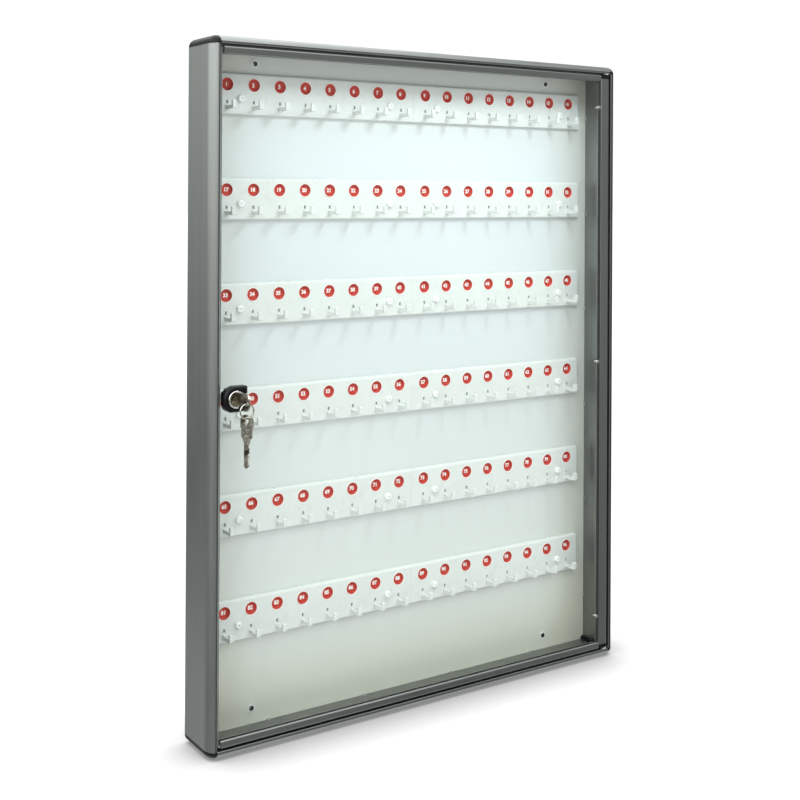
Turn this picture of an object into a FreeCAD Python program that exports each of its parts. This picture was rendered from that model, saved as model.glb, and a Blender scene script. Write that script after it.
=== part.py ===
import FreeCAD, Part
import math
import os

# Wall-hung key cabinet: an aluminium case with a clear inset door and numbered hooks.
# Frame: origin on the wall plane at the middle of the case, +X to the right, +Y into the wall,
# +Z up.  The door opens towards -Y.  All sizes are in millimetres.

V = FreeCAD.Vector

# ---- case -------------------------------------------------------------------
CASE_W = 526.0
CASE_H = 700.0
CASE_D = 58.0
RIM = 8.7             # width of the frame section's head, outside face to inside face
NOSE_U = 9.0          # elliptical rounding of the outer front edge: across the face
NOSE_V = 14.0         # and back along the side
WALL_T = 5.2          # thickness of the case's walls behind the head
LIP_V = 1.2           # how far the inner lip sits behind the front of the rim
SHADOW_U = (6.4, 7.6)  # shadow groove between the rim and its lip
SHADOW_DEEP = 2.2
LEDGE_V = (9.4, 11.0)  # door stop, as depth behind the front plane
LEDGE_OUT = 2.5
SKIN = 1.5            # skins on both sides of the hollow chamber
CHAMBER_V = (13.0, 47.0)
LEG_LONG = 24.0       # corner leg inside the chamber
LEG_SLACK = 0.15

# ---- back panel ---------------------------------------------------------------
PANEL_V = 50.0        # depth of the panel's front face
PANEL_T = 1.5
PANEL_CORNER = 3.0    # cut off each corner of the panel, inside the corner blocks
PANEL_IN_GROOVE = 2.2
GROOVE_SLACK = 0.1
CLIP_PITCH = 116.0
CLIP_L = 5.0

# ---- wall fixing -----------------------------------------------------------------
WALL_HOLE_R = 2.5
WALL_HOLE_OUT = 193.5  # sideways place of the holes, left and right of the middle
WALL_HOLE_UP = 329.0  # height of the holes above and below the middle
SLEEVE_R = 3.5
SLEEVE_FLANGE_R = 4.6
SLEEVE_FLANGE_T = 0.8

# ---- hook strips ----------------------------------------------------------------------
ROWS = 6
PER_STRIP = 8
PITCH = 30.0
STRIP_GAP = 2.5
ROW_PITCH = 106.4
ROW_1_Z = 306.5       # height of the first row's number buttons
STRIP_UP = 12.0       # strip top above the buttons
STRIP_DOWN = 30.0     # strip bottom below the buttons
STRIP_T = 4.2
STRIP_TOP_R = 3.0     # rounding of the strip's top front edge
STRIP_FOOT_R = 0.9
BUTTON_R = 7.5
BUTTON_T = 3.2
BUTTON_RIM = 1.1
BUTTON_FLOOR = 0.9
SLOT_DOWN = 17.6      # mould slot above each hook
SLOT_W = 2.2
SLOT_H = 3.4
HOOK_DOWN = 23.5      # middle of the hook's arm
HOOK_LONG = 17.0
HOOK_W = 3.8
HOOK_T = 3.6
HOOK_TIP_T = 3.2
HOOK_TIP_UP = 5.2     # tip above the arm's top face
KNOB_DOWN = 14.0
KNOB_R = 3.8
KNOB_OUT = 3.6
KNOB_STEM_R = 1.6
KNOB_AT = (0.5, 6.5)  # places along a strip, counted in hook pitches from its first hook

# ---- door ---------------------------------------------------------------------------------
DOOR_GAP = 1.5        # above and below the door
LOCK_SIDE_GAP = 2.5
HINGE_SIDE_GAP = 1.0
SHEET_T = 3.0
SHEET_V = 3.6         # depth of the sheet's front face
BAR_H = 8.2           # height of the top and bottom profiles
BAR_V = (1.4, 8.9)
BAR_IN = 1.2          # bars' free ends, in from the sheet's bare edge
HINGE_W = 14.2        # width of the hinge profile
HINGE_T = 7.5
HINGE_V = 5.2         # depth of the hinge axis
PIN_R = 1.5
BUSH_R = 2.5
BUSH_DEEP = 4.0
PLUG_LONG = 16.0      # socket for the end plug, from the door's end
PLUG_HEAD = 5.0       # height of the plug's arched head
PLUG_SIDE = 1.3       # height of the head at its sides
GASKET_OUT = 2.0
CLAMP_AT = (-301.0, 0.0, 301.0)

# ---- lock ---------------------------------------------------------------------------------
LOCK_IN = 24.0        # lock axis from the case's left side
LOCK_Z = -2.5         # height of the lock axis
BODY_R = 8.6
BODY_V = (-6.4, 13.8)
HOUSING_V = (-4.6, SHEET_V)
HOUSING_R = 12.6      # half the housing's size
PLUG_R = 6.8
RUN = 0.05            # running clearance of plug and pins
KEYWAY_W = 2.3
KEYWAY_H = 6.7
CAM_V = (14.6, 16.6)
CAM_LONG = 12.0
CAM_W = 10.0
POST = 6.0            # square post that carries the cam
KEEPER_V = (12.2, 13.7)
KEEPER_Z = (-11.0, 10.0)
KEEPER_T = 1.5
KEEPER_OUT = 9.3      # reach of the lip from the case's wall

# ---- keys and ring ---------------------------------------------------------------------------
KEY_T = 2.0
BLADE_H = 6.1
BLADE_IN = 16.0
BLADE_FREE = 25.0     # blade of the spare key
SHOULDER = 1.6
BOW_LONG = 24.0
BOW_WIDE = 17.0
BOW_WAIST = 14.0      # width of the bow's lower half
BOW_HOLE_R = 3.25
BOW_HOLE_IN = 4.9     # hole centre from the bow's end
RING_R = 7.0
WIRE_R = 0.8
HANG = 1.2            # ring wire below the middle of the bow's hole
SPARE_TURN = 15.0     # turn of the spare key about the vertical

LEFT = -CASE_W / 2
FRONT = -CASE_D
TOP = CASE_H / 2
IN_X = CASE_W / 2 - RIM
IN_Z = CASE_H / 2 - RIM
WALL_X = CASE_W / 2 - WALL_T
WALL_Z = CASE_H / 2 - WALL_T
LOCK_X = LEFT + LOCK_IN
HINGE_X = IN_X - HINGE_SIDE_GAP - HINGE_T / 2
HINGE_Y = FRONT + HINGE_V
DOOR_LEFT = -IN_X + LOCK_SIDE_GAP
DOOR_HALF_H = IN_Z - DOOR_GAP
HINGE_INNER = HINGE_X + HINGE_T / 2 - HINGE_W
STRIP_L = PER_STRIP * PITCH + STRIP_GAP - 0.1
STRIP_FACE = FRONT + PANEL_V - STRIP_T
SHOULDER_Y = FRONT + BODY_V[0] - 0.5
BOW_NEAR_Y = SHOULDER_Y - SHOULDER
BOW_HOLE_Y = BOW_NEAR_Y - BOW_LONG + BOW_HOLE_IN
RING_TOP_Z = -HANG
RING_LOW_Z = RING_TOP_Z - 2 * RING_R


# ---- helpers ------------------------------------------------------------------
def box(x0, x1, y0, y1, z0, z1):
    """Block between two corners."""
    return Part.makeBox(x1 - x0, y1 - y0, z1 - z0, V(x0, y0, z0))


def lowered(shape):
    """Copy of a lock part, modelled about Z = 0, at the lock's height."""
    return shape.translated(V(0, 0, LOCK_Z))


def rod(radius, start, end):
    """Cylinder between two points."""
    start = V(*start)
    along = V(*end) - start
    return Part.makeCylinder(radius, along.Length, start, along)


def join(shapes):
    """One solid from overlapping or touching shapes."""
    return shapes[0].multiFuse(shapes[1:]).removeSplitter()


def outline(points):
    """Closed face in the XY plane; each point is (x, y) or (x, y, corner radius)."""
    count = len(points)
    edges = []
    ends = []
    for i, point in enumerate(points):
        here = V(point[0], point[1], 0)
        radius = point[2] if len(point) > 2 else 0.0
        if radius == 0.0:
            ends.append((here, here, None))
            continue
        before = V(points[i - 1][0], points[i - 1][1], 0) - here
        after = V(points[(i + 1) % count][0], points[(i + 1) % count][1], 0) - here
        before.normalize()
        after.normalize()
        half = before.getAngle(after) / 2
        cut = radius / math.tan(half)
        inward = before + after
        inward.normalize()
        middle = here + inward * (radius / math.sin(half) - radius)
        ends.append((here + before * cut, here + after * cut, middle))
    for i, (start, end, middle) in enumerate(ends):
        if middle is not None:
            edges.append(Part.Arc(start, middle, end).toShape())
        following = ends[(i + 1) % count][0]
        if (following - end).Length > 1e-6:
            edges.append(Part.LineSegment(end, following).toShape())
    return Part.Face(Part.Wire(edges))


def turned(shape, centre, axis, degrees):
    """Copy of a shape turned about an axis through a point."""
    copy = shape.copy()
    copy.rotate(V(*centre), V(*axis), degrees)
    return copy


def mirrored_x(shape):
    return shape.mirror(V(0, 0, 0), V(1, 0, 0))


def mirrored_z(shape):
    return shape.mirror(V(0, 0, 0), V(0, 0, 1))


def hook_x(column):
    """Sideways place of a hook, columns counted from 0."""
    first = -(PER_STRIP - 0.5) * PITCH - STRIP_GAP / 2
    return first + column * PITCH + (STRIP_GAP if column >= PER_STRIP else 0.0)


def row_z(row):
    """Height of a row's number buttons, rows counted from 0 at the top."""
    return ROW_1_Z - row * ROW_PITCH


# ---- case ---------------------------------------------------------------------
def section_face():
    """Frame section: across from the outer face, and back from the front plane."""
    groove_front = PANEL_V - GROOVE_SLACK
    groove_back = PANEL_V + PANEL_T + GROOVE_SLACK
    groove = WALL_T - PANEL_IN_GROOVE - 0.3
    face = outline([
        (0, CASE_D, 0.4),
        (0, 0),
        (SHADOW_U[0], 0),
        (SHADOW_U[0], SHADOW_DEEP),
        (SHADOW_U[1], SHADOW_DEEP),
        (SHADOW_U[1], LIP_V, 0.25),
        (RIM, LIP_V, 0.5),
        (RIM, LEDGE_V[0]),
        (RIM + LEDGE_OUT, LEDGE_V[0], 0.3),
        (RIM + LEDGE_OUT, LEDGE_V[1], 0.3),
        (WALL_T, LEDGE_V[1], 0.6),
        (WALL_T, groove_front, 0.2),
        (groove, groove_front),
        (groove, groove_back),
        (WALL_T, groove_back, 0.2),
        (WALL_T, CASE_D, 0.4),
    ])
    return face.common(nose_face())


def nose_face():
    """Everything behind the rounded outer front edge."""
    wide = 3 * NOSE_U
    curve = Part.Ellipse(V(NOSE_U, 0, 0), V(0, NOSE_V, 0), V(NOSE_U, NOSE_V, 0))
    corners = [V(0, NOSE_V, 0), V(0, CASE_D, 0), V(wide, CASE_D, 0), V(wide, 0, 0), V(NOSE_U, 0, 0)]
    edges = [curve.toShape(0, math.pi / 2)]
    for start, end in zip(corners, corners[1:]):
        edges.append(Part.LineSegment(start, end).toShape())
    return Part.Face(Part.Wire(edges))


def chamber_points(slack):
    """Hollow of the frame section, or the leg that fills it less a slack."""
    low = SKIN + slack
    high = WALL_T - SKIN - slack
    front = CHAMBER_V[0] + slack
    back = CHAMBER_V[1] - slack
    return [(low, front, 0.5), (high, front, 0.5), (high, back, 0.5), (low, back, 0.5)]


def frame_bar(length):
    """Straight extrusion: section in X and Y, length along Z about the origin."""
    bar = section_face().extrude(V(0, 0, length))
    hollow = outline(chamber_points(0.0)).extrude(V(0, 0, length))
    bar = bar.cut(hollow)
    bar.translate(V(0, FRONT, -length / 2))
    return bar


def stile():
    bar = frame_bar(2 * IN_Z)
    bar.translate(V(LEFT, 0, 0))
    # the ledge stops short of the rails' ledges
    for side in (-1, 1):
        low, high = sorted((side * (IN_Z - LEDGE_OUT - 0.1), side * (IN_Z + 1)))
        bar = bar.cut(box(-IN_X, -IN_X + LEDGE_OUT + 1, FRONT + LEDGE_V[0] - 0.5,
                          FRONT + LEDGE_V[1] + 0.5, low, high))
    return bar


def rail():
    """Top rail: the section's outer face turned upwards."""
    bar = frame_bar(2 * IN_X)
    bar = turned(bar, (0, 0, 0), (0, 1, 0), 90)
    bar.translate(V(0, 0, TOP))
    seat = rod(BUSH_R, (HINGE_X, HINGE_Y, IN_Z - 1), (HINGE_X, HINGE_Y, IN_Z + BUSH_DEEP))
    return bar.cut(seat)


def corner_block():
    """Top left corner connector: a turned quarter with a leg for each bar."""
    face = outline([(0, CASE_D, 0.4), (0, 0), (RIM, 0), (RIM, CASE_D)]).common(nose_face())
    quarter = face.revolve(V(RIM, 0, 0), V(0, 1, 0), -90)
    quarter.translate(V(LEFT, FRONT, TOP - RIM))
    if quarter.BoundBox.ZMax < TOP - 1:
        quarter = quarter.mirror(V(0, 0, TOP - RIM), V(0, 0, 1))
    leg = outline(chamber_points(LEG_SLACK)).extrude(V(0, 0, LEG_LONG + 1))
    down = leg.copy()
    down.translate(V(LEFT, FRONT, IN_Z - LEG_LONG))
    across = turned(leg, (0, 0, 0), (0, 1, 0), 90)
    across.translate(V(-IN_X - 1, FRONT, TOP))
    block = join([quarter, down, across])
    return block.cut(panel_blank(0.3, GROOVE_SLACK))


def panel_blank(around, slack):
    """Back panel with its corners cut off, grown sideways and in thickness by the slacks."""
    half_w = WALL_X + PANEL_IN_GROOVE + around
    half_h = WALL_Z + PANEL_IN_GROOVE + around
    in_w = half_w - PANEL_CORNER
    in_h = half_h - PANEL_CORNER
    face = outline([
        (-half_w, -in_h), (-in_w, -half_h), (in_w, -half_h), (half_w, -in_h),
        (half_w, in_h), (in_w, half_h), (-in_w, half_h), (-half_w, in_h),
    ])
    blank = face.extrude(V(0, 0, PANEL_T + 2 * slack))
    # outline y becomes up, and the thickness runs towards -Y from the rear face
    blank.rotate(V(0, 0, 0), V(1, 0, 0), 90)
    blank.translate(V(0, FRONT + PANEL_V + PANEL_T + slack, 0))
    return blank


def back_panel():
    panel = panel_blank(0.0, 0.0)
    front = FRONT + PANEL_V
    cuts = []
    for x, z in wall_hole_places():
        cuts.append(rod(SLEEVE_R + 0.1, (x, front - 1, z), (x, front + PANEL_T + 1, z)))
    for x, z in knob_places():
        cuts.append(rod(KNOB_STEM_R + 0.1, (x, front - 1, z), (x, front + PANEL_T + 1, z)))
    return panel.cut(Part.makeCompound(cuts))


def panel_clips():
    """Small tabs that hold the panel against its groove, on all four walls."""
    clips = []
    front = FRONT + PANEL_V
    for side in (-1, 1):
        for step in range(6):
            z = (step - 2.5) * CLIP_PITCH
            x = side * (WALL_X - 0.8)
            clips.append(box(x - 0.8, x + 0.8, front - 2.2, front, z - CLIP_L / 2, z + CLIP_L / 2))
        for step in range(4):
            x = (step - 1.5) * CLIP_PITCH
            z = side * (WALL_Z - 0.8)
            clips.append(box(x - CLIP_L / 2, x + CLIP_L / 2, front - 2.2, front, z - 0.8, z + 0.8))
    return Part.makeCompound(clips)


def wall_hole_places():
    return [(side_x * WALL_HOLE_OUT, side_z * WALL_HOLE_UP)
            for side_x in (-1, 1) for side_z in (-1, 1)]


def wall_sleeves():
    """Flanged sleeves that carry the wall screws' load from the panel to the wall."""
    front = FRONT + PANEL_V
    sleeves = []
    for x, z in wall_hole_places():
        tube = rod(SLEEVE_R, (x, front - 0.1, z), (x, 0, z))
        flange = rod(SLEEVE_FLANGE_R, (x, front - SLEEVE_FLANGE_T, z), (x, front, z))
        flange = flange.makeFillet(0.3, [flange.Edges[0]])
        bore = rod(WALL_HOLE_R, (x, front - 5, z), (x, 1, z))
        sleeves.append(join([tube, flange]).cut(bore))
    return Part.makeCompound(sleeves)


# ---- hook strips -----------------------------------------------------------------
def knob_places():
    places = []
    for row in range(ROWS):
        for first in (0, PER_STRIP):
            for at in KNOB_AT:
                places.append((hook_x(first) + at * PITCH, row_z(row) - KNOB_DOWN))
    return places


def hook(x, z):
    """Moulded peg: an arm with an upturned rounded tip, square to the strip."""
    reach = HOOK_LONG
    low = -HOOK_T / 2
    high = HOOK_T / 2
    tip = high + HOOK_TIP_UP
    side = outline([
        (-0.5, low - 0.8),
        (0.0, low - 0.8),
        (1.6, low, 1.2),
        (reach, low, 1.4),
        (reach, tip, 1.0),
        (reach - HOOK_TIP_T, tip, 1.0),
        (reach - HOOK_TIP_T, high, 1.0),
        (1.6, high, 1.2),
        (0.0, high + 0.8),
        (-0.5, high + 0.8),
    ])
    peg = side.extrude(V(0, 0, HOOK_W))
    peg.translate(V(0, 0, -HOOK_W / 2))
    # outline x runs out of the strip (towards -Y) and outline y runs up
    peg.rotate(V(0, 0, 0), V(1, 0, 0), 90)
    peg.rotate(V(0, 0, 0), V(0, 0, 1), -90)
    peg.translate(V(x, STRIP_FACE, z))
    return peg


def hook_strip(row, half):
    """One moulding: plate, eight pegs, pockets for the buttons and mould slots."""
    first = half * PER_STRIP
    x0 = 0.05 if half else -0.05 - STRIP_L
    z = row_z(row)
    back = FRONT + PANEL_V
    plate = box(x0, x0 + STRIP_L, STRIP_FACE, back, z - STRIP_DOWN, z + STRIP_UP)
    for radius, edge_z in ((STRIP_TOP_R, z + STRIP_UP), (STRIP_FOOT_R, z - STRIP_DOWN)):
        rounded = [edge for edge in plate.Edges
                   if abs(edge.CenterOfMass.y - STRIP_FACE) < 0.01
                   and abs(edge.CenterOfMass.z - edge_z) < 0.01]
        plate = plate.makeFillet(radius, rounded)
    solids = [plate]
    cuts = []
    for column in range(first, first + PER_STRIP):
        x = hook_x(column)
        solids.append(hook(x, z - HOOK_DOWN))
        cuts.append(rod(BUTTON_R + 0.1, (x, STRIP_FACE - 1, z), (x, STRIP_FACE + BUTTON_T, z)))
        cuts.append(box(x - SLOT_W / 2, x + SLOT_W / 2, STRIP_FACE - 1, back + 1,
                        z - SLOT_DOWN - SLOT_H / 2, z - SLOT_DOWN + SLOT_H / 2))
    for at in KNOB_AT:
        x = hook_x(first) + at * PITCH
        cuts.append(rod(KNOB_STEM_R + 0.1, (x, STRIP_FACE - 1, z - KNOB_DOWN),
                        (x, back + 1, z - KNOB_DOWN)))
    return solids[0].multiFuse(solids[1:]).cut(Part.makeCompound(cuts))


def number_buttons(row):
    """Sixteen round cups pressed into the strips, their floors set back."""
    cups = []
    z = row_z(row)
    for column in range(2 * PER_STRIP):
        x = hook_x(column)
        rim_y = STRIP_FACE - 0.35
        cup = rod(BUTTON_R, (x, rim_y, z), (x, STRIP_FACE + BUTTON_T, z))
        cup = cup.makeFillet(0.25, [edge for edge in cup.Edges
                                    if abs(edge.CenterOfMass.y - rim_y) < 0.01])
        hollow = rod(BUTTON_R - BUTTON_RIM, (x, rim_y - 1, z),
                     (x, STRIP_FACE + BUTTON_T - BUTTON_FLOOR, z))
        cups.append(cup.cut(hollow))
    return Part.makeCompound(cups)


def strip_knobs():
    """Push rivets that hold the strips: domed head, stem through strip and panel."""
    knobs = []
    behind = FRONT + PANEL_V + PANEL_T
    for x, z in knob_places():
        head = rod(KNOB_R, (x, STRIP_FACE - KNOB_OUT, z), (x, STRIP_FACE, z))
        head = head.makeFillet(1.6, [edge for edge in head.Edges
                                     if abs(edge.CenterOfMass.y - STRIP_FACE + KNOB_OUT) < 0.01])
        stem = rod(KNOB_STEM_R, (x, STRIP_FACE - 1, z), (x, behind + 1.8, z))
        recess = rod(1.0, (x, STRIP_FACE - KNOB_OUT - 1, z), (x, STRIP_FACE - KNOB_OUT + 1.2, z))
        flare = Part.makeCone(KNOB_STEM_R, KNOB_STEM_R + 0.7, 1.6, V(x, behind, z), V(0, 1, 0))
        knobs.append(join([head, stem, flare]).cut(recess))
    return Part.makeCompound(knobs)


# ---- hinge parts on the case ---------------------------------------------------------
def hinge_bush():
    """Top bush: sits in the rail and takes the pin; its flange fills the door gap."""
    barrel = rod(BUSH_R, (HINGE_X, HINGE_Y, IN_Z), (HINGE_X, HINGE_Y, IN_Z + BUSH_DEEP))
    flange = rod(BUSH_R + 0.6, (HINGE_X, HINGE_Y, IN_Z - 1.0), (HINGE_X, HINGE_Y, IN_Z))
    bore = rod(PIN_R + RUN, (HINGE_X, HINGE_Y, IN_Z - 2),
               (HINGE_X, HINGE_Y, IN_Z + BUSH_DEEP - 0.6))
    return join([barrel, flange]).cut(bore)


def lock_keeper():
    """Angle on the left stile; the lock's cam turns in behind its lip."""
    wall_y = FRONT + KEEPER_V[0] + 22
    plate = box(-WALL_X, -WALL_X + KEEPER_T, FRONT + KEEPER_V[0], wall_y, *KEEPER_Z)
    lip = box(-WALL_X, -WALL_X + KEEPER_OUT, FRONT + KEEPER_V[0], FRONT + KEEPER_V[1], *KEEPER_Z)
    keeper = join([plate, lip])
    for z in keeper_screw_heights():
        keeper = keeper.cut(rod(1.35, (-WALL_X - 1, wall_y - 6, z), (-WALL_X + 3, wall_y - 6, z)))
    return keeper


def keeper_screw_heights():
    middle = (KEEPER_Z[0] + KEEPER_Z[1]) / 2
    return (middle - 5.5, middle + 5.5)


def keeper_screws():
    screws = []
    y = FRONT + KEEPER_V[0] + 16
    for z in keeper_screw_heights():
        seat = -WALL_X + KEEPER_T
        shank = rod(1.25, (-WALL_X - SKIN - 1.5, y, z), (seat, y, z))
        head = Part.makeCone(2.3, 1.7, 1.2, V(seat, y, z), V(1, 0, 0))
        slot = box(seat + 0.7, seat + 1.5, y - 3, y + 3, z - 0.3, z + 0.3)
        screws.append(join([shank, head]).cut(slot))
    return Part.makeCompound(screws)


def screw_seats(shape):
    """Pilot holes for the keeper's screws in the left stile's inner wall."""
    y = FRONT + KEEPER_V[0] + 16
    for z in keeper_screw_heights():
        shape = shape.cut(rod(1.25, (-WALL_X - SKIN - 1, y, z), (-WALL_X + 1, y, z)))
    return shape


# ---- door ---------------------------------------------------------------------------
def door_panel():
    front = FRONT + SHEET_V
    right = HINGE_INNER + 4.5
    half = DOOR_HALF_H - 1.8
    sheet = box(DOOR_LEFT, right, front, front + SHEET_T, -half, half)
    bare = [edge for edge in sheet.Edges
            if abs(edge.CenterOfMass.x - DOOR_LEFT) < 0.01 and edge.Length > 100]
    sheet = sheet.makeFillet(0.4, bare)
    hole = rod(BODY_R + 0.1, (LOCK_X, front - 1, LOCK_Z), (LOCK_X, front + SHEET_T + 1, LOCK_Z))
    cuts = [hole]
    for z in CLAMP_AT:
        cuts.append(rod(1.1, (HINGE_INNER - 1.0, front - 1, z), (HINGE_INNER - 1.0, front + 5, z)))
    for side in (-1, 1):
        # room for the plugs' heads at the ends of the hinge profile
        low, high = sorted((side * (DOOR_HALF_H - PLUG_HEAD - 0.1), side * DOOR_HALF_H))
        cuts.append(box(HINGE_INNER - 0.1, right + 1, front - 1, front + SHEET_T + 1, low, high))
    return sheet.cut(Part.makeCompound(cuts))


def door_bar():
    """Top profile: a rounded channel over the sheet's top edge."""
    back = BAR_V[1] - BAR_V[0]
    sheet_front = SHEET_V - BAR_V[0]
    face = outline([
        (0, 0, 2.6),
        (BAR_H, 0, 1.7),
        (BAR_H, sheet_front - 0.05, 0.3),
        (1.6, sheet_front - 0.05),
        (1.6, sheet_front + SHEET_T + 0.05),
        (BAR_H, sheet_front + SHEET_T + 0.05, 0.3),
        (BAR_H, back, 1.0),
        (0, back, 1.0),
    ])
    length = HINGE_INNER - DOOR_LEFT - BAR_IN
    bar = face.extrude(V(0, 0, length))
    bar = turned(bar, (0, 0, 0), (0, 1, 0), 90)
    bar.translate(V(DOOR_LEFT + BAR_IN, FRONT + BAR_V[0], DOOR_HALF_H))
    return bar


def hinge_profile():
    """Vertical profile with a round knuckle; the sheet sits in its slot."""
    half_t = HINGE_T / 2
    left = HINGE_INNER - HINGE_X
    slot_front = SHEET_V - HINGE_V - 0.05
    slot_back = SHEET_V + SHEET_T - HINGE_V + 0.05
    slot_end = left + 4.8
    face = outline([
        (left, -half_t, 1.0),
        (half_t, -half_t, half_t - 0.01),
        (half_t, half_t, half_t - 0.01),
        (left, half_t, 0.6),
        (left, slot_back, 0.2),
        (slot_end, slot_back),
        (slot_end, slot_front),
        (left, slot_front, 0.2),
    ])
    bar = face.extrude(V(0, 0, 2 * DOOR_HALF_H))
    bar.translate(V(HINGE_X, HINGE_Y, -DOOR_HALF_H))
    for side in (-1, 1):
        inner, outer = sorted((side * (DOOR_HALF_H - PLUG_LONG), side * (DOOR_HALF_H + 1)))
        bar = bar.cut(rod(2.4, (HINGE_X, HINGE_Y, inner), (HINGE_X, HINGE_Y, outer)))
        bar = bar.cut(box(HINGE_X - 20, HINGE_X + 20, HINGE_Y - 20, HINGE_Y + 20,
                          *sorted((side * (DOOR_HALF_H - PLUG_HEAD), side * (DOOR_HALF_H + 1)))))
    return bar


def hinge_plug():
    """Top end cap of the hinge profile: an arched head and a stem in the knuckle."""
    z0 = DOOR_HALF_H - PLUG_HEAD
    half_t = HINGE_T / 2
    left = HINGE_INNER - HINGE_X
    head = outline([
        (left, -half_t, 1.0),
        (half_t, -half_t, half_t - 0.01),
        (half_t, half_t, half_t - 0.01),
        (left, half_t, 0.6),
    ]).extrude(V(0, 0, PLUG_HEAD))
    rise = PLUG_HEAD - 0.1 - PLUG_SIDE
    arch = ((HINGE_W / 2) ** 2 + rise ** 2) / (2 * rise)
    middle = left + HINGE_W / 2
    crown = PLUG_HEAD - 0.1 - arch
    head = head.common(rod(arch, (middle, -HINGE_T, crown), (middle, HINGE_T, crown)))
    head.translate(V(HINGE_X, HINGE_Y, z0))
    low = DOOR_HALF_H - PLUG_LONG + 0.6
    stem = rod(2.35, (HINGE_X, HINGE_Y, low), (HINGE_X, HINGE_Y, z0 + 0.1))
    bore = rod(PIN_R, (HINGE_X, HINGE_Y, low + 1.4), (HINGE_X, HINGE_Y, z0 + PLUG_HEAD))
    return join([head, stem]).cut(bore)


def hinge_pin():
    return rod(PIN_R, (HINGE_X, HINGE_Y, DOOR_HALF_H - 13),
               (HINGE_X, HINGE_Y, IN_Z + BUSH_DEEP - 1.0))


def hinge_gasket():
    """Black bead along the hinge profile's inner edge, in front of the sheet."""
    half = DOOR_HALF_H - BAR_H
    back = FRONT + SHEET_V
    bead = box(HINGE_INNER - GASKET_OUT, HINGE_INNER, back - 1.6, back, -half, half)
    long_edge = [edge for edge in bead.Edges
                 if edge.Length > 100 and edge.CenterOfMass.x < HINGE_INNER - 1
                 and edge.CenterOfMass.y < back - 1]
    bead = bead.makeFillet(0.8, long_edge)
    for z in CLAMP_AT:
        bead = bead.cut(box(HINGE_INNER - 5, HINGE_INNER + 5, back - 5, back + 1, z - 2.2, z + 2.2))
    return bead


def clamp_screws():
    """Three small screws that pin the sheet beside the hinge profile."""
    screws = []
    front = FRONT + SHEET_V
    x = HINGE_INNER - 1.0
    for z in CLAMP_AT:
        head = rod(1.9, (x - 1.0, front - 1.2, z), (x - 1.0, front, z))
        head = head.makeFillet(0.5, [edge for edge in head.Edges
                                     if abs(edge.CenterOfMass.y - front + 1.2) < 0.01])
        shank = rod(1.0, (x, front - 0.1, z), (x, front + SHEET_T + 1.2, z))
        nut = rod(1.9, (x - 1.0, front + SHEET_T, z), (x - 1.0, front + SHEET_T + 1.2, z))
        screws.append(join([head, shank, nut]))
    return Part.makeCompound(screws)


# ---- lock -------------------------------------------------------------------------------
def lock_housing():
    """Black rosette on the sheet: round towards the stile, square at the upper right."""
    half = HOUSING_R
    deep = HOUSING_V[1] - HOUSING_V[0]
    face = outline([
        (-half, half, 12.4),
        (-half, -half, 9.0),
        (half, -half, 8.0),
        (half, half, 2.0),
    ])
    block = face.extrude(V(0, 0, deep))
    rim = [edge for edge in block.Edges if abs(edge.CenterOfMass.z - deep) < 0.01]
    block = block.makeChamfer(1.6, rim)
    # outline y becomes up, and the extrusion becomes towards -Y
    block.rotate(V(0, 0, 0), V(1, 0, 0), 90)
    block.translate(V(LOCK_X, FRONT + HOUSING_V[1], 0))
    tab = box(DOOR_LEFT + 0.6, LOCK_X - half + 3,
              FRONT + HOUSING_V[1] - 2.6, FRONT + HOUSING_V[1], 5.0, 7.6)
    block = join([block, tab])
    return block.cut(rod(BODY_R + 0.05, (LOCK_X, FRONT - 10, 0), (LOCK_X, FRONT + 10, 0)))


def lock_body():
    front = FRONT + BODY_V[0]
    barrel = rod(BODY_R, (LOCK_X, front, 0), (LOCK_X, FRONT + BODY_V[1], 0))
    nose = [edge for edge in barrel.Edges if abs(edge.CenterOfMass.y - front) < 0.01]
    barrel = barrel.makeFillet(0.7, nose)
    return barrel.cut(rod(PLUG_R + RUN, (LOCK_X, front - 1, 0), (LOCK_X, FRONT + BODY_V[1] + 1, 0)))


def lock_nut():
    start = FRONT + SHEET_V + SHEET_T
    corners = [V(11.4 * math.cos(math.radians(60 * i)), 0, 11.4 * math.sin(math.radians(60 * i)))
               for i in range(7)]
    nut = Part.Face(Part.makePolygon(corners)).extrude(V(0, 3.5, 0))
    nut.translate(V(LOCK_X, start, 0))
    return nut.cut(rod(BODY_R + 0.02, (LOCK_X, start - 1, 0), (LOCK_X, start + 5, 0)))


def lock_plug():
    front = FRONT + BODY_V[0] + 0.3
    rear = FRONT + BODY_V[1] + 0.5
    plug = rod(PLUG_R, (LOCK_X, front, 0), (LOCK_X, rear, 0))
    post = box(LOCK_X - POST / 2, LOCK_X + POST / 2, rear - 0.2, FRONT + CAM_V[1], -POST / 2, POST / 2)
    keyway = box(LOCK_X - KEYWAY_W / 2, LOCK_X + KEYWAY_W / 2, front - 1, front + BLADE_IN + 1.5,
                 -KEYWAY_H / 2, KEYWAY_H / 2)
    thread = rod(1.6, (LOCK_X, FRONT + CAM_V[0] - 1.5, 0), (LOCK_X, FRONT + CAM_V[1] + 1, 0))
    return join([plug, post]).cut(keyway).cut(thread)


def lock_cam():
    """Flat tongue, hanging down when the lock is open."""
    face = outline([
        (-CAM_W / 2, CAM_W / 2, 4.4),
        (-CAM_W / 2, -CAM_LONG, 1.5),
        (CAM_W / 2, -CAM_LONG, 1.5),
        (CAM_W / 2, CAM_W / 2, 4.4),
    ])
    cam = face.extrude(V(0, 0, CAM_V[1] - CAM_V[0]))
    cam.rotate(V(0, 0, 0), V(1, 0, 0), 90)
    cam.translate(V(LOCK_X, FRONT + CAM_V[1], 0))
    hole = box(LOCK_X - POST / 2, LOCK_X + POST / 2, FRONT + 5, FRONT + 25, -POST / 2, POST / 2)
    return cam.cut(hole)


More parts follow.
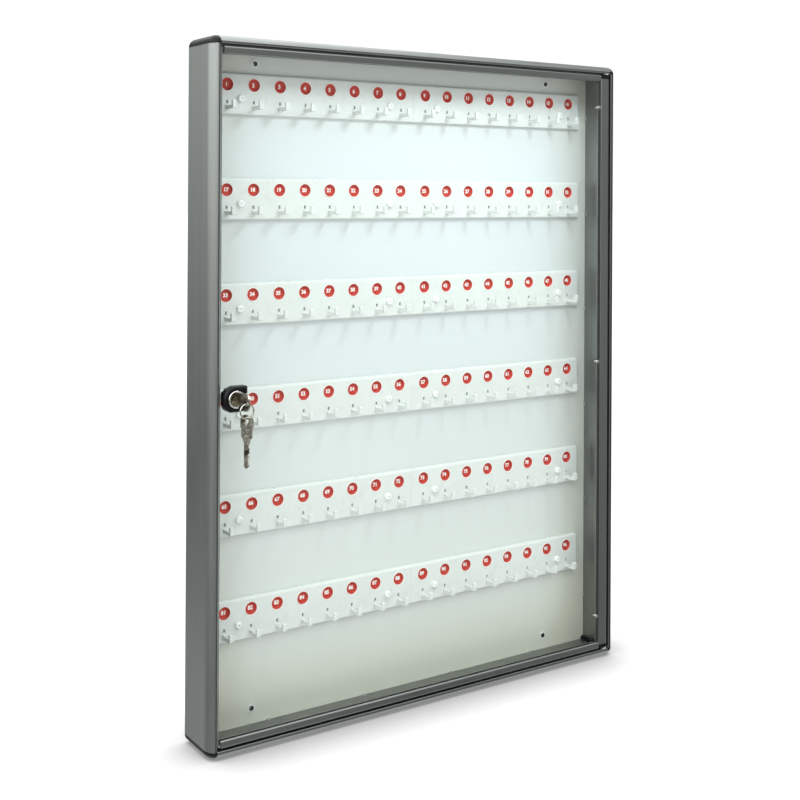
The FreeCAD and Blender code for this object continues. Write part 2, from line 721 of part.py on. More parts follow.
def cam_screw():
    start = FRONT + CAM_V[1]
    head = rod(3.8, (LOCK_X, start, 0), (LOCK_X, start + 2.0, 0))
    head = head.makeFillet(0.8, [edge for edge in head.Edges
                                 if abs(edge.CenterOfMass.y - start - 2) < 0.01])
    shank = rod(1.6, (LOCK_X, FRONT + CAM_V[0] - 1.4, 0), (LOCK_X, start + 0.1, 0))
    slot = box(LOCK_X - 0.5, LOCK_X + 0.5, start + 1.1, start + 3, -5, 5)
    return join([head, shank]).cut(slot)


# ---- keys -----------------------------------------------------------------------------------
def flat_key(blade_long):
    """Key in the YZ plane about X = 0: blade towards +Y from the shoulder at Y = 0."""
    wide = BOW_WIDE / 2
    waist = BOW_WAIST / 2
    bow = outline([
        (-SHOULDER, -4.2, 0.6),
        (-SHOULDER - 3.0, -waist, 2.5),
        (-SHOULDER - 10.0, -waist, 2.0),
        (-SHOULDER - 12.0, -wide, 2.0),
        (-SHOULDER - BOW_LONG, -wide, 6.5),
        (-SHOULDER - BOW_LONG, wide, 6.5),
        (-SHOULDER - 12.0, wide, 2.0),
        (-SHOULDER - 10.0, waist, 2.0),
        (-SHOULDER - 3.0, waist, 2.5),
        (-SHOULDER, 4.2, 0.6),
    ])
    neck = outline([(-SHOULDER - 1, -4.2), (0, -4.2), (0, 4.2), (-SHOULDER - 1, 4.2)])
    blade = outline([
        (-0.5, -BLADE_H / 2),
        (blade_long - 2.5, -BLADE_H / 2, 0.8),
        (blade_long, -0.8, 0.6),
        (blade_long, 1.2, 0.6),
        (blade_long - 1.6, BLADE_H / 2, 0.8),
        (-0.5, BLADE_H / 2),
    ])
    flat = join([face.extrude(V(0, 0, KEY_T)) for face in (bow, neck, blade)])
    hole_x = -SHOULDER - BOW_LONG + BOW_HOLE_IN
    cuts = [Part.makeCylinder(BOW_HOLE_R, 9, V(hole_x, 0, -3))]
    depths = (1.5, 0.8, 1.9, 1.1, 1.6)
    step = (blade_long - 6.0) / len(depths)
    for i, deep in enumerate(depths):
        x = 2.6 + (i + 0.5) * step
        low = -BLADE_H / 2
        notch = outline([(x - 1.9, low - 0.1), (x - 0.6, low + deep),
                         (x + 0.6, low + deep), (x + 1.9, low - 0.1)])
        notch = notch.extrude(V(0, 0, 9))
        notch.translate(V(0, 0, -3))
        cuts.append(notch)
    groove = box(0.6, blade_long + 1, 0.3, 1.7, KEY_T - 0.6, KEY_T + 1)
    cuts.append(groove)
    flat = flat.cut(Part.makeCompound(cuts))
    flat.translate(V(0, 0, -KEY_T / 2))
    # outline x becomes +Y and outline y becomes +Z
    flat.rotate(V(0, 0, 0), V(1, 1, 1), 120)
    return flat


def lock_key():
    key = flat_key(BLADE_IN)
    key.translate(V(LOCK_X, SHOULDER_Y, 0))
    return key


def key_ring():
    centre = V(LOCK_X, BOW_HOLE_Y, RING_TOP_Z - RING_R)
    return Part.makeTorus(RING_R, WIRE_R, centre, V(0, 1, 0))


def spare_key():
    """Second key, hanging blade down from the ring."""
    key = flat_key(BLADE_FREE)
    hole_y = -SHOULDER - BOW_LONG + BOW_HOLE_IN
    key.translate(V(0, -hole_y, 0))
    key.rotate(V(0, 0, 0), V(1, 0, 0), -90)
    key.rotate(V(0, 0, 0), V(0, 0, 1), SPARE_TURN)
    key.translate(V(LOCK_X, BOW_HOLE_Y, RING_LOW_Z - HANG))
    return key


# ---- assembly ----------------------------------------------------------------------------------
def build():
    parts = {}
    left = stile()
    parts["stile_left"] = screw_seats(left)
    parts["stile_right"] = mirrored_x(left)
    top = rail()
    parts["rail_top"] = top
    parts["rail_bottom"] = mirrored_z(top)
    block = corner_block()
    parts["corner_top_left"] = block
    parts["corner_top_right"] = mirrored_x(block)
    parts["corner_bottom_left"] = mirrored_z(block)
    parts["corner_bottom_right"] = mirrored_z(mirrored_x(block))
    parts["back_panel"] = back_panel()
    parts["panel_clips"] = panel_clips()
    parts["wall_sleeves"] = wall_sleeves()
    for row in range(ROWS):
        parts["hook_strip_%d_left" % (row + 1)] = hook_strip(row, 0)
        parts["hook_strip_%d_right" % (row + 1)] = hook_strip(row, 1)
        parts["number_buttons_%d" % (row + 1)] = number_buttons(row)
    parts["strip_knobs"] = strip_knobs()
    parts["hinge_bush_top"] = hinge_bush()
    parts["hinge_bush_bottom"] = mirrored_z(parts["hinge_bush_top"])
    parts["lock_keeper"] = lock_keeper()
    parts["keeper_screws"] = keeper_screws()
    parts["door_panel"] = door_panel()
    parts["door_bar_top"] = door_bar()
    parts["door_bar_bottom"] = mirrored_z(parts["door_bar_top"])
    parts["hinge_profile"] = hinge_profile()
    parts["hinge_plug_top"] = hinge_plug()
    parts["hinge_plug_bottom"] = mirrored_z(parts["hinge_plug_top"])
    parts["hinge_pin_top"] = hinge_pin()
    parts["hinge_pin_bottom"] = mirrored_z(parts["hinge_pin_top"])
    parts["hinge_gasket"] = hinge_gasket()
    parts["clamp_screws"] = clamp_screws()
    parts["lock_housing"] = lowered(lock_housing())
    parts["lock_body"] = lowered(lock_body())
    parts["lock_nut"] = lowered(lock_nut())
    parts["lock_plug"] = lowered(lock_plug())
    parts["lock_cam"] = lowered(lock_cam())
    parts["cam_screw"] = lowered(cam_screw())
    parts["lock_key"] = lowered(lock_key())
    parts["key_ring"] = lowered(key_ring())
    parts["spare_key"] = lowered(spare_key())
    return parts


def main():
    os.makedirs("parts", exist_ok=True)
    for name, shape in build().items():
        shape.exportStep("parts/%s.step" % name)
        size = shape.BoundBox
        print("%-22s solids %3d valid %s  x %.1f..%.1f y %.1f..%.1f z %.1f..%.1f" % (
            name, len(shape.Solids), shape.isValid(), size.XMin, size.XMax,
            size.YMin, size.YMax, size.ZMin, size.ZMax))


main()
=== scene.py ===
import math

import bpy
from mathutils import Matrix, Vector


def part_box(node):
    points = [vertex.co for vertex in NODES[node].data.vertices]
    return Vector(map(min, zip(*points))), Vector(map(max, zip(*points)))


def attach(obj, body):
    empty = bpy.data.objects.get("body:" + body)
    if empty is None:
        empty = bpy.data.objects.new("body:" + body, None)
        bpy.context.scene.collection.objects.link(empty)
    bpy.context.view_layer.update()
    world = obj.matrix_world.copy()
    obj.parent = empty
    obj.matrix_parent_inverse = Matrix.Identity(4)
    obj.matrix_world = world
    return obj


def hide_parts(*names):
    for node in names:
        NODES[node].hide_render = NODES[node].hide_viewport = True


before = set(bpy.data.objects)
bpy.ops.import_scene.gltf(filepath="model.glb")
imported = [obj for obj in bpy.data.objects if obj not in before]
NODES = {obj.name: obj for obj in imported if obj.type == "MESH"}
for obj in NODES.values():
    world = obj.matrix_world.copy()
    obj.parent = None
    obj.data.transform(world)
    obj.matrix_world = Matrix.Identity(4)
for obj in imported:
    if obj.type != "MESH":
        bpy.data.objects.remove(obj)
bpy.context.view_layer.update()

scene = bpy.context.scene
MM = 0.001

FLOOR_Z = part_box("rail_bottom")[0].z   # the cabinet stands on the floor


# ---- material helpers -----------------------------------------------------------
def add(tree, kind, **inputs):
    """New shader node; keyword inputs are set by socket name, with spaces as underscores."""
    node = tree.nodes.new(kind)
    for name, value in inputs.items():
        socket = node.inputs[name.replace("_", " ")]
        if isinstance(value, bpy.types.NodeSocket):
            tree.links.new(value, socket)
        else:
            socket.default_value = value
    return node


def material(name):
    made = bpy.data.materials.new(name)
    made.use_nodes = True
    tree = made.node_tree
    return made, tree, tree.nodes["Principled BSDF"]


def place(tree, stretch=(1.0, 1.0, 1.0)):
    """Object coordinates in metres, times a stretch for each axis."""
    where = add(tree, "ShaderNodeTexCoord").outputs["Object"]
    if stretch == (1.0, 1.0, 1.0):
        return where
    mapping = add(tree, "ShaderNodeMapping", Vector=where)
    mapping.inputs["Scale"].default_value = stretch
    return mapping.outputs["Vector"]


def noise(tree, scale, detail=3.0, roughness=0.5, stretch=(1.0, 1.0, 1.0), distortion=0.0):
    node = add(tree, "ShaderNodeTexNoise", Vector=place(tree, stretch), Scale=scale,
               Detail=detail, Roughness=roughness, Distortion=distortion)
    return node.outputs["Fac"]


def between(tree, factor, low, high, start=0.3, end=0.7):
    """Number that runs from low to high as the factor runs from start to end."""
    node = tree.nodes.new("ShaderNodeMapRange")
    tree.links.new(factor, node.inputs["Value"])
    for name, value in (("From Min", start), ("From Max", end), ("To Min", low), ("To Max", high)):
        node.inputs[name].default_value = value
    return node.outputs["Result"]


def blend_colours(tree, factor, first, second):
    node = tree.nodes.new("ShaderNodeMix")
    node.data_type = "RGBA"
    for socket, value in ((node.inputs["Factor"], factor), (node.inputs["A"], first),
                          (node.inputs["B"], second)):
        if isinstance(value, bpy.types.NodeSocket):
            tree.links.new(value, socket)
        elif socket.type == "RGBA":
            socket.default_value = (*value, 1.0)
        else:
            socket.default_value = value
    return [s for s in node.outputs if s.type == "RGBA"][0]


def joined(tree, operation, *values):
    """Result of one arithmetic operation over numbers and sockets, taken from the left."""
    total = values[0]
    for value in values[1:]:
        node = tree.nodes.new("ShaderNodeMath")
        node.operation = operation
        for socket, part in zip(node.inputs, (total, value)):
            if isinstance(part, bpy.types.NodeSocket):
                tree.links.new(part, socket)
            else:
                socket.default_value = part
        total = node.outputs[0]
    return total


def absolute(tree, value):
    node = tree.nodes.new("ShaderNodeMath")
    node.operation = "ABSOLUTE"
    tree.links.new(value, node.inputs[0])
    return node.outputs[0]


def shade(colour, gain):
    return tuple(channel * gain for channel in colour)


def colour_variation(tree, shader, colour, spread, scale, detail=4.0, stretch=(1.0, 1.0, 1.0)):
    """Base colour that wanders by a share either side of a colour."""
    factor = between(tree, noise(tree, scale, detail, 0.55, stretch), 0.0, 1.0)
    mixed = blend_colours(tree, factor, shade(colour, 1 - spread), shade(colour, 1 + spread))
    tree.links.new(mixed, shader.inputs["Base Color"])
    return mixed


def add_bump(tree, shader, height, depth_mm, previous=None):
    """Bump whose heights are millimetres."""
    node = add(tree, "ShaderNodeBump", Height=height, Strength=1.0, Distance=depth_mm * MM)
    if previous is not None:
        tree.links.new(previous, node.inputs["Normal"])
    tree.links.new(node.outputs["Normal"], shader.inputs["Normal"])
    return node.outputs["Normal"]


# ---- materials ------------------------------------------------------------------
def anodised(name, colour, along, rough=0.34):
    """Satin anodised extrusion: die lines run along one axis, with a fine etched grain."""
    made, tree, shader = material(name)
    shader.inputs["Metallic"].default_value = 1.0
    lines = tuple(0.012 if axis == along else 1.0 for axis in range(3))
    streaks = noise(tree, 1500.0, 3.0, 0.6, lines)
    broad = noise(tree, 9.0, 2.0, 0.5)
    colour_variation(tree, shader, colour, 0.05, 260.0, 2.0, lines)
    grain = between(tree, streaks, rough - 0.05, rough + 0.06)
    handled = between(tree, broad, -0.02, 0.03)
    tree.links.new(joined(tree, "ADD", grain, handled), shader.inputs["Roughness"])
    first = add_bump(tree, shader, streaks, 0.004)
    add_bump(tree, shader, noise(tree, 5200.0, 2.0), 0.003, first)
    return made


def moulded(name, colour, rough, spread=0.04, grain_mm=0.02, grain_scale=1400.0,
            subsurface=0.0, gloss=0.5):
    """Injection-moulded plastic: fine spark grain, faint flow marks, uneven gloss."""
    made, tree, shader = material(name)
    colour_variation(tree, shader, colour, spread, 40.0)
    tree.links.new(between(tree, noise(tree, 120.0, 4.0, 0.6), rough - 0.06, rough + 0.08),
                   shader.inputs["Roughness"])
    first = add_bump(tree, shader, noise(tree, grain_scale, 2.0), grain_mm)
    add_bump(tree, shader, noise(tree, 60.0, 2.0, 0.5, (1.0, 1.0, 0.4)), 0.05, first)
    shader.inputs["IOR"].default_value = 1.49
    shader.inputs["Specular IOR Level"].default_value = gloss
    if subsurface:
        shader.inputs["Subsurface Weight"].default_value = subsurface
        shader.inputs["Subsurface Radius"].default_value = (0.8, 0.8, 0.8)
        shader.inputs["Subsurface Scale"].default_value = 1.2 * MM
    return made


def enamelled(name, colour, painted_shade_tint):
    """Baked white enamel on sheet: orange peel, dust specks, and a painted shade tint, warmer and
    dimmer, towards the edges and foot.
    """
    made, tree, shader = material(name)
    clean = colour_variation(tree, shader, colour, 0.012, 6.0)
    split = add(tree, "ShaderNodeSeparateXYZ",
                Vector=add(tree, "ShaderNodeNewGeometry").outputs["Position"])
    edges = []
    # painted shade: towards the edges and the foot the colour turns to the warmer, dimmer tint,
    # standing for the shade where the bluish near lamp reaches less
    for axis, start, end in (("X", 0.19, 0.257), ("Z", 0.24, 0.345)):
        edges.append(between(tree, absolute(tree, split.outputs[axis]), 0.0, 0.5, start, end))
    low = between(tree, split.outputs["Z"], 0.35, 0.0, -0.3, 0.1)
    base = blend_colours(tree, joined(tree, "ADD", low, *edges), clean, painted_shade_tint)
    specks = between(tree, noise(tree, 700.0, 1.0), 0.0, 0.22, 0.77, 0.84)
    tree.links.new(blend_colours(tree, specks, base, shade(colour, 0.55)),
                   shader.inputs["Base Color"])
    tree.links.new(between(tree, noise(tree, 22.0, 3.0), 0.34, 0.46), shader.inputs["Roughness"])
    first = add_bump(tree, shader, noise(tree, 420.0, 2.0), 0.012)
    add_bump(tree, shader, noise(tree, 14.0, 1.0), 0.25, first)
    return made


def plated(name, colour, rough, spread=0.06, scratch=0.015, tarnish=None, dent=0.0):
    """Plated metal: cloudy lustre, hairline scratches, dulled patches."""
    made, tree, shader = material(name)
    shader.inputs["Metallic"].default_value = 1.0
    base = colour_variation(tree, shader, colour, spread, 240.0)
    hair = noise(tree, 900.0, 2.0, 0.6, (1.0, 1.0, 0.08), 0.6)
    fine = noise(tree, 900.0, 2.0, 0.6, (0.08, 1.0, 1.0), 0.4)
    if tarnish is not None:
        patch = between(tree, noise(tree, 75.0, 3.0, 0.5), 0.0, 0.95, 0.46, 0.6)
        tree.links.new(blend_colours(tree, patch, base, tarnish), shader.inputs["Base Color"])
    tree.links.new(between(tree, fine, rough - 0.04, rough + 0.09), shader.inputs["Roughness"])
    first = add_bump(tree, shader, hair, scratch)
    second = add_bump(tree, shader, fine, scratch * 0.7, first)
    if dent:
        add_bump(tree, shader, noise(tree, 150.0, 2.0, 0.55), dent, second)
    return made


SLEEVE_FLANGE_R, SLEEVE_BORE_R = 4.6 * MM, 2.5 * MM


def dark_bores(made, sleeves_box):
    """Paints shade into a material near the axes of the four wall sleeves, whose box is given."""
    tree = made.node_tree
    shader = tree.nodes["Principled BSDF"]
    across = (sleeves_box[1].x - sleeves_box[0].x) / 2 - SLEEVE_FLANGE_R
    upward = (sleeves_box[1].z - sleeves_box[0].z) / 2 - SLEEVE_FLANGE_R
    split = add(tree, "ShaderNodeSeparateXYZ",
                Vector=add(tree, "ShaderNodeNewGeometry").outputs["Position"])
    squares = []
    for axis, out in (("X", across), ("Z", upward)):
        off = joined(tree, "SUBTRACT", absolute(tree, split.outputs[axis]), out)
        squares.append(joined(tree, "MULTIPLY", off, off))
    bore = SLEEVE_BORE_R ** 2
    # painted shade: near black within each bore's circle, standing for the dark depth of the hole
    inside = between(tree, joined(tree, "ADD", *squares), 1.0, 0.0, bore * 1.05, bore * 1.25)
    base = shader.inputs["Base Color"].links[0].from_socket
    tree.links.new(blend_colours(tree, inside, base, (0.02, 0.018, 0.015)),
                   shader.inputs["Base Color"])
    return made


def rubber(name, colour):
    made, tree, shader = material(name)
    colour_variation(tree, shader, colour, 0.15, 90.0)
    tree.links.new(between(tree, noise(tree, 300.0), 0.55, 0.75), shader.inputs["Roughness"])
    add_bump(tree, shader, noise(tree, 1800.0, 2.0), 0.02)
    return made


def clear_sheet(name):
    """Polished acrylic sheet: clear through its faces, milky at its sawn edges."""
    made, tree, shader = material(name)
    # faces: clear with a Fresnel gloss that fine wipe marks roughen
    gloss = add(tree, "ShaderNodeBsdfGlossy")
    tree.links.new(between(tree, noise(tree, 55.0, 4.0, 0.6, (1.0, 1.0, 0.25)), 0.0, 0.06),
                   gloss.inputs["Roughness"])
    clear = add(tree, "ShaderNodeBsdfTransparent")
    clear.inputs["Color"].default_value = (0.985, 0.992, 0.99, 1.0)
    weight = add(tree, "ShaderNodeFresnel", IOR=1.4)
    # only where a ray enters: straight rays inside the sheet would be reflected for good
    behind = add(tree, "ShaderNodeNewGeometry").outputs["Backfacing"]
    outside = joined(tree, "MULTIPLY", weight.outputs[0], joined(tree, "SUBTRACT", 1.0, behind))
    face = tree.nodes.new("ShaderNodeMixShader")
    tree.links.new(outside, face.inputs[0])
    tree.links.new(clear.outputs[0], face.inputs[1])
    tree.links.new(gloss.outputs[0], face.inputs[2])
    # edges: the sawn and flamed narrow sides scatter light
    shader.inputs["IOR"].default_value = 1.49
    colour_variation(tree, shader, (0.80, 0.86, 0.84), 0.05, 30.0)
    tree.links.new(between(tree, noise(tree, 400.0, 2.0, 0.5, (1.0, 1.0, 0.1)), 0.2, 0.4),
                   shader.inputs["Roughness"])
    split = add(tree, "ShaderNodeSeparateXYZ",
                Vector=add(tree, "ShaderNodeNewGeometry").outputs["True Normal"])
    facing = between(tree, absolute(tree, split.outputs["Y"]), 0.0, 1.0, 0.25, 0.6)
    both = tree.nodes.new("ShaderNodeMixShader")
    tree.links.new(facing, both.inputs[0])
    tree.links.new(shader.outputs[0], both.inputs[1])
    tree.links.new(face.outputs[0], both.inputs[2])
    tree.links.new(both.outputs[0], tree.nodes["Material Output"].inputs["Surface"])
    return made


ALUMINIUM = (0.30, 0.305, 0.30)
DOOR_ALUMINIUM = (0.27, 0.275, 0.27)
X_AXIS, Z_AXIS = 0, 2
frame_upright = anodised("frame_upright", ALUMINIUM, Z_AXIS)
frame_across = anodised("frame_across", ALUMINIUM, X_AXIS)
door_upright = anodised("door_upright", DOOR_ALUMINIUM, Z_AXIS)
door_across = anodised("door_across", DOOR_ALUMINIUM, X_AXIS)
corner_black = moulded("corner_black", (0.005, 0.005, 0.006), 0.33, 0.2, 0.02, 1100.0, 0.0, 0.14)
lock_black = moulded("lock_black", (0.004, 0.004, 0.005), 0.22, 0.2, 0.012, 1500.0, 0.0, 0.22)
# painted shade over the whole of each: the white enamel panel and the white strips take a grey
# about three quarters of their white, standing for dimmer light than the bright room gives
panel_white = enamelled("panel_white", (0.655, 0.70, 0.705), (0.66, 0.66, 0.565))
strip_white = moulded("strip_white", (0.69, 0.715, 0.69), 0.30, 0.015, 0.008, 900.0, 0.2)
# a trace of emission stands for the light scattered on inside the thin white moulding
strip_white.node_tree.nodes["Principled BSDF"].inputs["Emission Strength"].default_value = 0.02
nylon_white = moulded("nylon_white", (0.84, 0.85, 0.83), 0.42, 0.02, 0.012, 1200.0, 0.3)
cup_pale = moulded("cup_pale", (0.86, 0.80, 0.77), 0.32, 0.02, 0.006, 1200.0, 0.2)
label_red = moulded("label_red", (0.50, 0.032, 0.018), 0.42, 0.05, 0.006, 1600.0)
ink_white = moulded("ink_white", (0.88, 0.87, 0.85), 0.5, 0.03, 0.006, 1500.0)
zinc = plated("zinc", (0.74, 0.75, 0.74), 0.30, 0.08, 0.02)
sleeve_white = dark_bores(moulded("sleeve_white", (0.74, 0.75, 0.72), 0.38, 0.03, 0.01, 1200.0),
                          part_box("wall_sleeves"))
bright_steel = plated("bright_steel", (0.62, 0.62, 0.60), 0.24, 0.06, 0.015)
lock_chrome = plated("lock_chrome", (0.93, 0.91, 0.88), 0.08, 0.05, 0.006)
plug_brass = plated("plug_brass", (0.34, 0.30, 0.22), 0.10, 0.2, 0.01, (0.05, 0.036, 0.02), 1.4)
key_nickel = plated("key_nickel", (0.66, 0.62, 0.54), 0.10, 0.12, 0.02, (0.10, 0.07, 0.04), 1.4)
ring_steel = plated("ring_steel", (0.58, 0.56, 0.50), 0.22, 0.08, 0.01)
gasket_black = rubber("gasket_black", (0.014, 0.014, 0.014))
acrylic = clear_sheet("acrylic")

FINISHES = {
    "stile_left": frame_upright, "stile_right": frame_upright,
    "rail_top": frame_across, "rail_bottom": frame_across,
    "back_panel": panel_white, "panel_clips": zinc, "wall_sleeves": sleeve_white,
    "strip_knobs": nylon_white, "hinge_bush_top": nylon_white, "hinge_bush_bottom": nylon_white,
    "lock_keeper": lock_black, "keeper_screws": bright_steel,
    "door_panel": acrylic, "door_bar_top": door_across, "door_bar_bottom": door_across,
    "hinge_profile": door_upright, "hinge_plug_top": lock_black, "hinge_plug_bottom": lock_black,
    "hinge_pin_top": bright_steel, "hinge_pin_bottom": bright_steel,
    "hinge_gasket": gasket_black, "clamp_screws": bright_steel,
    "lock_housing": lock_black, "lock_body": lock_chrome, "lock_nut": bright_steel,
    "lock_plug": plug_brass, "lock_cam": bright_steel, "cam_screw": bright_steel,
    "lock_key": key_nickel, "key_ring": ring_steel, "spare_key": key_nickel,
}
for node_name, node in NODES.items():
    finish = FINISHES.get(node_name)
    if node_name.startswith("corner"):
        finish = corner_black
    if node_name.startswith("hook_strip"):
        finish = strip_white
    if node_name.startswith("number_buttons"):
        finish = cup_pale
    node.data.materials.clear()
    node.data.materials.append(finish)


# ---- number buttons ---------------------------------------------------------------
ROWS, PER_ROW, PITCH = 6, 16, 30 * MM
BUTTON_R = 7.5 * MM
BUTTON_DEEP = 3.2 * MM
RIM_PROUD, FLOOR_DEEP = 0.35 * MM, 2.3 * MM
LABEL_R = 6.36 * MM                    # the red label lines the cup's inner wall
LABEL_TOP = FLOOR_DEEP - 0.34 * MM
NUMERAL_HIGH, NUMERAL_BOLDER, NUMERAL_THICK = 5.6 * MM, 0.24 * MM, 0.05 * MM


def mesh_object(name, points, faces, smooth=True):
    mesh = bpy.data.meshes.new(name)
    mesh.from_pydata(points, [], faces)
    mesh.validate()
    if smooth:
        mesh.shade_smooth()
    made = bpy.data.objects.new(name, mesh)
    scene.collection.objects.link(made)
    return made


def lathe(profile, centres, steps=40):
    """Points and faces of one profile (radius, depth) turned about each centre's Y axis."""
    points, faces = [], []
    for centre in centres:
        start = len(points)
        for radius, depth in profile:
            for step in range(steps):
                angle = 2 * math.pi * step / steps
                points.append((centre[0] + radius * math.cos(angle), centre[1] + depth,
                               centre[2] + radius * math.sin(angle)))
        for ring in range(len(profile) - 1):
            for step in range(steps):
                after = (step + 1) % steps
                low, high = start + ring * steps, start + (ring + 1) * steps
                faces.append((low + step, low + after, high + after, high + step))
        last = start + (len(profile) - 1) * steps
        faces.append(tuple(range(last, last + steps)))
        faces.append(tuple(reversed(range(start, start + steps))))
    return points, faces


def button_places(row):
    """Centres of a row's buttons on the strips' face."""
    low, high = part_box("number_buttons_%d" % row)
    middle = (low.z + high.z) / 2
    places = []
    for column in range(PER_ROW):
        if column < PER_ROW // 2:
            x = low.x + BUTTON_R + column * PITCH
        else:
            x = high.x - BUTTON_R - (PER_ROW - 1 - column) * PITCH
        places.append(Vector((x, low.y + RIM_PROUD, middle)))
    return places


# profiles as (radius, depth behind the strip's face)
CUP = [(BUTTON_R, BUTTON_DEEP), (BUTTON_R, -0.12 * MM), (BUTTON_R - 0.08 * MM, -0.26 * MM),
       (BUTTON_R - 0.25 * MM, -RIM_PROUD), (BUTTON_R - 0.75 * MM, -RIM_PROUD),
       (BUTTON_R - 0.95 * MM, -0.26 * MM), (BUTTON_R - 1.05 * MM, -0.05 * MM),
       (BUTTON_R - 1.10 * MM, FLOOR_DEEP - 0.15 * MM), (BUTTON_R - 1.2 * MM, FLOOR_DEEP)]
LABEL = [(LABEL_R, FLOOR_DEEP), (LABEL_R, -0.05 * MM), (LABEL_R - 0.08 * MM, -0.05 * MM),
         (LABEL_R - 0.1 * MM, FLOOR_DEEP - 0.3 * MM), (LABEL_R / 2, LABEL_TOP)]


def numeral_mesh(text, where):
    """Raised printing of a number, standing on the label and facing the front."""
    curve = bpy.data.curves.new("numeral", "FONT")
    curve.body = text
    curve.size = NUMERAL_HIGH
    curve.offset = NUMERAL_BOLDER
    curve.extrude = NUMERAL_THICK
    curve.align_x = "CENTER"
    curve.align_y = "CENTER"
    curve.resolution_u = 3
    curve.space_character = 0.98
    holder = bpy.data.objects.new("numeral", curve)
    mesh = bpy.data.meshes.new_from_object(holder)
    mesh.transform(Matrix.Translation(where) @ Matrix.Rotation(math.pi / 2, 4, "X"))
    bpy.data.objects.remove(holder)
    bpy.data.curves.remove(curve)
    return mesh


def numerals(name, places, first):
    """One mesh of the numbers from first on, a number at each place."""
    points, faces = [], []
    for number, spot in enumerate(places, first):
        mesh = numeral_mesh(str(number), spot + Vector((0, LABEL_TOP - 0.03 * MM, 0)))
        start = len(points)
        points.extend(vertex.co.to_tuple() for vertex in mesh.vertices)
        faces.extend(tuple(start + v for v in polygon.vertices) for polygon in mesh.polygons)
        bpy.data.meshes.remove(mesh)
    return mesh_object(name, points, faces, smooth=False)


for row in range(1, ROWS + 1):
    spots = button_places(row)
    cups = mesh_object("button_cups_%d" % row, *lathe(CUP, spots))
    labels = mesh_object("button_labels_%d" % row, *lathe(LABEL, spots))
    digits = numerals("button_numerals_%d" % row, spots, 1 + PER_ROW * (row - 1))
    for piece, finish in ((cups, cup_pale), (labels, label_red), (digits, ink_white)):
        piece.data.materials.append(finish)
        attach(piece, "case")
    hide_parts("number_buttons_%d" % row)


# ---- floor --------------------------------------------------------------------------
SHADOW_REACH = 80 * MM
FLOOR_HALF = 30.0


def floor():
    """Pale paper that glows evenly whatever the lamps do, with a painted contact shadow near the
    cabinet.
    """
    corners = ((-1, -1), (1, -1), (1, 1), (-1, 1))
    made = mesh_object("floor", [(x * FLOOR_HALF, y * FLOOR_HALF, FLOOR_Z) for x, y in corners],
                       [(0, 1, 2, 3)], smooth=False)
    paper, tree, shader = material("floor_paper")
    colour_variation(tree, shader, (0.1, 0.1, 0.1), 0.01, 3.0)
    shader.inputs["Roughness"].default_value = 0.9
    shader.inputs["Specular IOR Level"].default_value = 0.0
    # painted contact shadow: the glow dims where ambient occlusion finds the cabinet within reach
    contact = add(tree, "ShaderNodeAmbientOcclusion", Distance=SHADOW_REACH)
    shader.inputs["Emission Color"].default_value = (1.0, 0.995, 0.995, 1.0)
    tree.links.new(between(tree, contact.outputs["AO"], 0.22, 1.02, 0.35, 1.0),
                   shader.inputs["Emission Strength"])
    made.data.materials.append(paper)
    made.visible_glossy = False


floor()


# ---- light --------------------------------------------------------------------------
def room_side(tree, strength, *ranges):
    """Strength where the direction lies within ranges: (axis, value of 0, value of 1) each."""
    split = add(tree, "ShaderNodeSeparateXYZ",
                Vector=add(tree, "ShaderNodeTexCoord").outputs["Generated"])
    total = strength
    for axis, nothing, full in ranges:
        low, high = sorted((nothing, full))
        fade = tree.nodes.new("ShaderNodeMapRange")
        fade.interpolation_type = "SMOOTHSTEP"
        tree.links.new(split.outputs[axis], fade.inputs["Value"])
        for name, value in (("From Min", low), ("From Max", high),
                            ("To Min", 0.0 if nothing == low else 1.0),
                            ("To Max", 1.0 if nothing == low else 0.0)):
            fade.inputs[name].default_value = value
        total = joined(tree, "MULTIPLY", total, fade.outputs["Result"])
    return total


def background(tree, colour, strength):
    node = add(tree, "ShaderNodeBackground", Strength=strength)
    node.inputs["Color"].default_value = (*colour, 1.0)
    return node.outputs[0]


def studio_world():
    """Backdrop white to the camera; to everything else a dim room with bright sides."""
    world = bpy.data.worlds.new("studio")
    scene.world = world
    world.use_nodes = True
    tree = world.node_tree
    tree.nodes.remove(tree.nodes["Background"])
    sides = [room_side(tree, *side) for side in ROOM_SIDES]
    shapes = add(tree, "ShaderNodeTexNoise", Scale=4.5, Detail=2.0,
                 Vector=add(tree, "ShaderNodeTexCoord").outputs["Generated"])
    dim = between(tree, shapes.outputs["Fac"], *ROOM_SHAPES, 0.42, 0.58)
    room = background(tree, ROOM_COLOUR, joined(tree, "ADD", dim, *sides))
    backdrop = background(tree, (1.0, 1.0, 1.0), 1.05)
    path = add(tree, "ShaderNodeLightPath")
    mix = tree.nodes.new("ShaderNodeMixShader")
    tree.links.new(path.outputs["Is Camera Ray"], mix.inputs[0])
    tree.links.new(room, mix.inputs[1])
    tree.links.new(backdrop, mix.inputs[2])
    tree.links.new(mix.outputs[0], tree.nodes["World Output"].inputs["Surface"])


def area_light(name, where, target, size, power, colour=(1.0, 1.0, 1.0)):
    lamp = bpy.data.lights.new(name, "AREA")
    lamp.shape = "RECTANGLE"
    lamp.size, lamp.size_y = size
    lamp.energy = power
    lamp.color = colour
    made = bpy.data.objects.new(name, lamp)
    made.location = where
    made.rotation_euler = (Vector(target) - Vector(where)).to_track_quat("-Z", "Y").to_euler()
    made.visible_camera = False
    made.visible_glossy = False
    scene.collection.objects.link(made)
    return made


ROOM_COLOUR = (0.95, 1.0, 0.975)
ROOM_SHAPES = (0.08, 0.66)   # darkest and lightest of the room's soft shapes
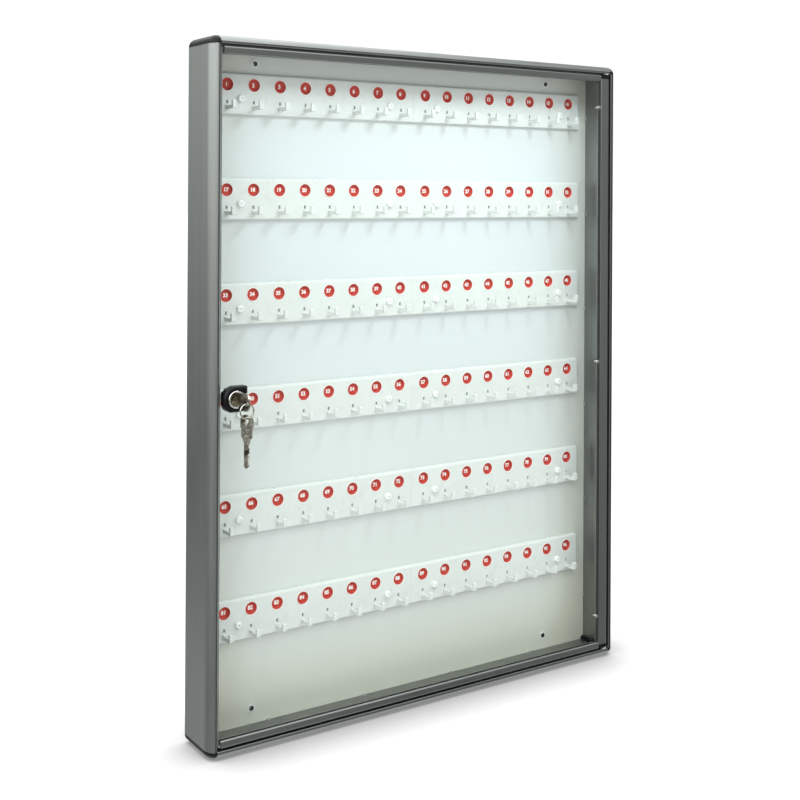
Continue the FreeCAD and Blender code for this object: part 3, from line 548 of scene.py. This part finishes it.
# bright sides of the room: strength, then the ranges of direction in which each is seen
ROOM_SIDES = [(1.90, ("X", -0.52, -0.70), ("Z", -0.09, 0.12)),
              (0.40, ("X", -0.20, -0.40), ("Y", 0.60, 0.90), ("Z", -0.25, 0.25)),
              (1.85, ("Z", 0.36, 0.52), ("X", 0.63, 0.50)),
              (0.50, ("Z", -0.50, -0.75))]
studio_world()
lamps = [
    area_light("near_light", (0.10, -0.34, 0.54), (0.0, 0.0, 0.1), (0.12, 0.12), 1.3,
               (0.86, 0.96, 1.0)),
    area_light("fill_softbox", (0.0, -0.75, 0.45), (0.0, 0.0, 0.0), (0.5, 0.4), 0.3,
               (0.90, 0.98, 1.0)),
    area_light("camera_softbox", (-1.2, -1.3, 0.9), (-0.2, 0.0, 0.1), (0.8, 0.6), 1.0),
]
# the lamps light the cabinet only; the floor keeps the even light of the surroundings
cabinet = bpy.data.collections.new("cabinet")
for piece in [o for o in scene.objects if o.type == "MESH" and o.name != "floor"]:
    cabinet.objects.link(piece)
for lamp in lamps:
    lamp.light_linking.receiver_collection = cabinet


# ---- camera -------------------------------------------------------------------------
CAMERA_AT = Vector((-0.77029, -1.14313, 0.19508))
YAW, PITCH_UP, ROLL = math.radians(33.665), math.radians(0.169), math.radians(0.312)
FOCAL_PX, HORIZON_PX, IMAGE_PX = 1236.8, 192.0, 800.0


def photo_camera():
    lens = bpy.data.cameras.new("camera")
    lens.sensor_width = 36.0
    lens.lens = FOCAL_PX * lens.sensor_width / IMAGE_PX
    lens.shift_y = (HORIZON_PX - IMAGE_PX / 2) / IMAGE_PX
    lens.clip_start, lens.clip_end = 0.01, 100.0
    made = bpy.data.objects.new("camera", lens)
    level = Vector((math.sin(YAW), math.cos(YAW), 0.0))
    ahead = level * math.cos(PITCH_UP) + Vector((0, 0, 1)) * math.sin(PITCH_UP)
    upward = Vector((0, 0, 1)) * math.cos(PITCH_UP) - level * math.sin(PITCH_UP)
    sideways = Vector((math.cos(YAW), -math.sin(YAW), 0.0))
    right = sideways * math.cos(ROLL) + upward * math.sin(ROLL)
    up = upward * math.cos(ROLL) - sideways * math.sin(ROLL)
    turn = Matrix((right, up, -ahead)).transposed().to_4x4()
    made.matrix_world = Matrix.Translation(CAMERA_AT) @ turn
    scene.collection.objects.link(made)
    scene.camera = made


photo_camera()
scene.view_settings.view_transform = "Standard"
